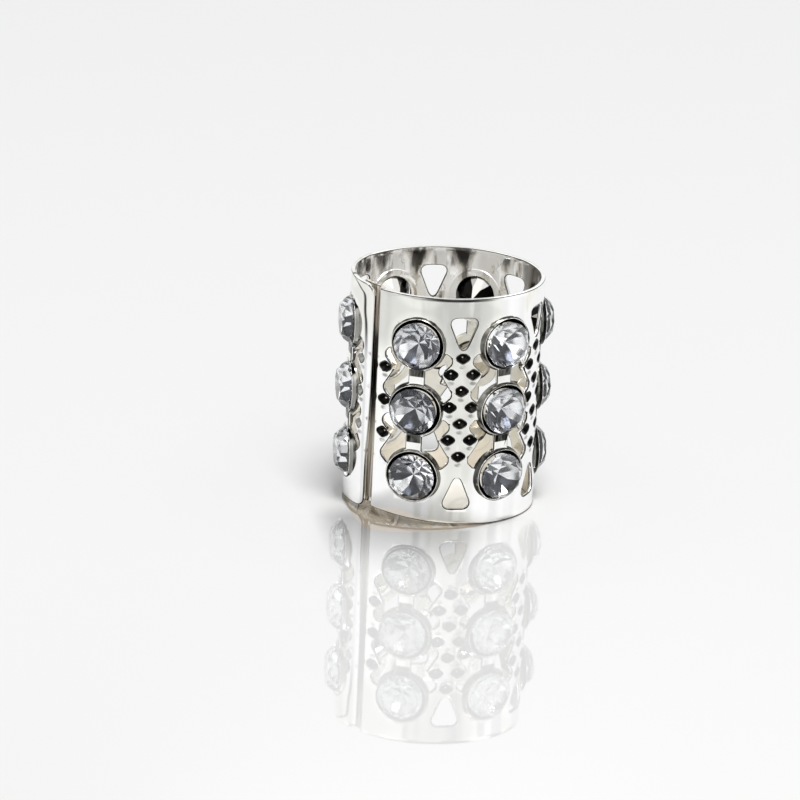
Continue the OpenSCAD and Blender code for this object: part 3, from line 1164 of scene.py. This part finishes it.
for i, (column, s) in enumerate(zip(COLUMNS, column_s)):
    for j, (row, z) in enumerate(zip(ROWS, row_z)):
        key = Vector((i * 3.7, j * 5.3, 1.1))
        tilt = Matrix.Rotation(noise.noise(key + Vector((9, 0, 0))) * MOST_TILT, 4, "X")
        lean = Matrix.Rotation(noise.noise(key + Vector((0, 9, 0))) * MOST_TILT, 4, "Y")
        slack_x, slack_z, extra_turn = SLACK[column][j] if column in SLACK else (0, 0, 0)
        turn = Matrix.Rotation(noise.noise(key) * MOST_TURN + extra_turn, 4, "Z")
        sunk = Matrix.Translation((slack_x, slack_z, -SUNK.get(column, 0)))
        place = Matrix.Scale(TO_METRES, 4) @ seat_place(s, z) @ sunk @ tilt @ lean @ turn
        set_stone = copy_of(stone, f"stone_{column}_{row}", place)
        tones = set_stone.data.attributes.new("flat_tone", "FLOAT", "FACE")
        for flats in (crown_flats, main_backs, short_backs):
            mixed = sorted(flats, key=lambda cut: lightness(cut, key, turn))
            for rank, cut in enumerate(mixed):
                tones.data[cut.index].value = (rank + 0.5) / len(mixed)
        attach(set_stone, "root")
        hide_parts(f"crystal_{column}_{row}")
bpy.data.objects.remove(stone)
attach(band, "root")
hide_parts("band")
print(len(column_s) * len(row_z), "stones set")

# %% [markdown]
# ## The studio
# The photograph was taken on a glossy white board, which mirrors the cuff faintly. Round its
# foot the cuff shades the board, and under the lifted edge at the seam a warm shadow shows. The
# floor isn't part of the object.

# %% Floor
start_clean()
bpy.ops.mesh.primitive_plane_add(size=1.2, location=(0, 0, 0))
floor = name_new("floor")
white, shader = new_material("pale_floor")
# Painted shade and light: the cuff's shadow round its foot, a warm shadow under the lifted edge and a
# brighter floor inside the tube are painted into the floor's colour
right, back, up = split_up(object_place())
# How far outside the oval a place is: 0 on its outline and 5 at twice its size
wide = times(right, 2 / TO_METRES / TUBE_W)
far = times(back, 2 / TO_METRES / TUBE_D)
out = times(minus(hypotenuse(wide, far), 1.0), 5.0)
# The places below are in metres
in_front = times(between(right, -0.009, -0.0055, 0.0, 0.005), fade(back, -0.001, -0.0045))
softness = fade(in_front, 0.0, 1.0, 0.7, 2.2)
foot = blend(in_front, (0.78, 0.775, 0.765), (0.22, 0.22, 0.215))
nearby = blend(in_front, (0.82, 0.825, 0.82), (0.74, 0.745, 0.745))
shaded = blend(fade(calc("DIVIDE", out, softness), -0.5, 4.0), foot, nearby)
shaded = blend(fade(out, 4.0, 13.0), shaded, (0.84, 0.845, 0.84))
shaded = blend(fade(out, -1.6, -2.2), shaded, (1, 0.99, 0.97))
# The warm shadow is widest where the edge is lifted most
reach = times(fade(right, 0.004, -0.0052, 0.0, 2.0), fade(right, -0.006, -0.0042))
under = minus(calc("ABSOLUTE", out), reach)
under = times(fade(under, 0.1, -0.05), fade(back, 0.0, -0.001))
wire(shader.inputs["Base Color"], blend(under, shaded, (0.38, 0.33, 0.27)))
shader.inputs["Roughness"].default_value = 0.02
shader.inputs["Specular IOR Level"].default_value = 1.0
shader.inputs["IOR"].default_value = 1.7
floor.data.materials.append(white)
print("floor:", [round(side, 2) for side in floor.dimensions], "metres")

# %% [markdown]
# Bright metal shows its surroundings. So mirror-like rays see a room of light and dark patches
# over a white backdrop, while soft light comes from an even, dim dome. Two softboxes add the
# main light, from above and from in front.

# %% Lights and world
world = bpy.data.worlds.new("studio")
bpy.context.scene.world = world
world.use_nodes = True
tree = world.node_tree
direction = tree.nodes.new("ShaderNodeTexCoord").outputs["Generated"]
side_x, side_y, height = split_up(direction)
backdrop = times(fade(side_y, -0.4, 0.5, 0.75, 1.0), fade(height, 0.7, 0.35))
patches = grain(direction, 2.6)
room = blend(fade(patches, 0.43, 0.53), (0.05, 0.049, 0.048), (2.0, 2.0, 1.98))
room = blend(backdrop, room, (0.95, 0.96, 0.96))
path = tree.nodes.new("ShaderNodeLightPath")
mirrored = calc("MAXIMUM", path.outputs["Is Glossy Ray"], path.outputs["Is Transmission Ray"])
mirrored = times(mirrored, calc("LESS_THAN", path.outputs["Diffuse Depth"], 0.5))
# Light that has bounced more than once meets a brighter dome, or the deep places go black
many_bounces = calc("GREATER_THAN", path.outputs["Diffuse Depth"], 1.5)
soft_light = blend(many_bounces, (0.2, 0.2, 0.197), (1.0, 1.0, 0.985))
background = tree.nodes["Background"]
wire(background.inputs["Color"], blend(mirrored, soft_light, room))
background.inputs["Strength"].default_value = 1.0
bpy.context.scene.view_settings.view_transform = "Standard"


def softbox(name, place, side, power):
    """A square light of this side that faces the middle of the cuff."""
    light = bpy.data.lights.new(name, "AREA")
    light.shape = "RECTANGLE"
    light.size = light.size_y = side
    light.energy = power
    lamp = in_scene(name, light)
    lamp.location = place
    to_cuff = Vector((0, 0, 0.007)) - Vector(place)
    lamp.rotation_euler = to_cuff.to_track_quat("-Z", "Y").to_euler()
    return lamp


top_light = softbox("top_light", (0.08, -0.2, 0.9), 0.32, 6.9)
front_light = softbox("front_light", (0.1, -0.48, 0.72), 0.6, 1.3)
print("lights:", top_light.name, front_light.name)

# %% [markdown]
# The camera looks down by some 21 degrees from the front. These values were found by matching
# the rims and the seats with the photograph, which leans a little: a roll of the camera.

# %% Camera
ELEVATION = math.radians(21.44)
AZIMUTH = math.radians(0.79)
ROLL = math.radians(2.68)
DISTANCE = 0.301
# The focal length and the place of the cuff's middle, in pixels of the photograph
FOCAL_PX = 4823
CENTRE_PX = (442.75, 386.31)
PHOTO_PX = 800
SENSOR_MM = 36
camera_data = bpy.data.cameras.new("camera")
camera = in_scene("camera", camera_data)
camera_data.sensor_width = SENSOR_MM
camera_data.lens = FOCAL_PX * SENSOR_MM / PHOTO_PX
camera_data.clip_start = 0.01
sin, cos = math.sin(AZIMUTH), math.cos(AZIMUTH)
forward = Vector((sin * math.cos(ELEVATION), cos * math.cos(ELEVATION), -math.sin(ELEVATION)))
right = Vector((cos, -sin, 0))
up = right.cross(forward)
right_rolled = right * math.cos(ROLL) + up * math.sin(ROLL)
up_rolled = up * math.cos(ROLL) - right * math.sin(ROLL)
per_pixel = DISTANCE / FOCAL_PX
eye = Vector((0, 0, 0.0074)) - forward * DISTANCE
eye -= right_rolled * (CENTRE_PX[0] - PHOTO_PX / 2) * per_pixel
eye += up_rolled * (CENTRE_PX[1] - PHOTO_PX / 2) * per_pixel
axes = Matrix((right_rolled, up_rolled, -forward)).transposed().to_4x4()
camera.matrix_world = Matrix.Translation(eye) @ axes
bpy.context.scene.camera = camera
print("camera at", [round(value, 3) for value in eye], "lens", round(camera_data.lens), "mm")
